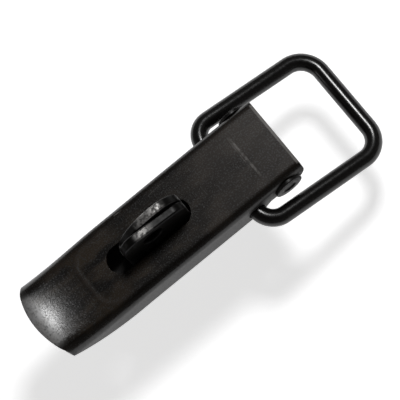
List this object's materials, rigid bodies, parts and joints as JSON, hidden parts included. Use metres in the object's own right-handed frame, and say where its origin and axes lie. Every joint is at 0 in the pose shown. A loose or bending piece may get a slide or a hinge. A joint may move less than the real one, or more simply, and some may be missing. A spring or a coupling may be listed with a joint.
{
  "type": "lockable over-centre toggle latch",
  "caption": "Black steel over-centre toggle latch: channel lever with finger lip, wire bail, riveted base and a double staple through the lever slot for a padlock.",
  "frame": {"origin": "centre of the four mounting holes, on the base plate's mounting face", "axes": "+Z out of the mounting face towards the lever's top, +X along the lever towards the pivot and the bail, +Y to the left seen from the finger lip"},
  "size_m": [0.1736, 0.0638, 0.057],
  "materials": {
    "lever_black": "satin black, worn and slightly mottled, rubbed bright at the lip",
    "rod_black": "semi-gloss black rod with a few small nicks",
    "base_black": "satin black",
    "rivet_black": "satin black, headed cold",
    "staple_black": "satin black, rubbed to bright steel along its top edge"
  },
  "bodies": {
    "base": {"base_plate": "base_black", "pivot_rivet": "rivet_black", "pivot_spacer": "rivet_black", "staple_plate_left": "staple_black", "staple_plate_right": "staple_black", "staple_rivets": "rivet_black"},
    "lever": {"lever": "lever_black"},
    "bail": {"bail_link": "rod_black"}
  },
  "joints": [
    {"name": "lever_pivot", "type": "hinge", "parent": "base", "child": "lever", "pos_m": [0.059, 0, 0.0132], "axis": [0, 1, 0], "range_deg": [0, 95]},
    {"name": "bail_pivot", "type": "hinge", "parent": "lever", "child": "bail", "pos_m": [0.0413, 0, 0.0104], "axis": [0, -1, 0], "range_deg": [-30, 150]}
  ]
}
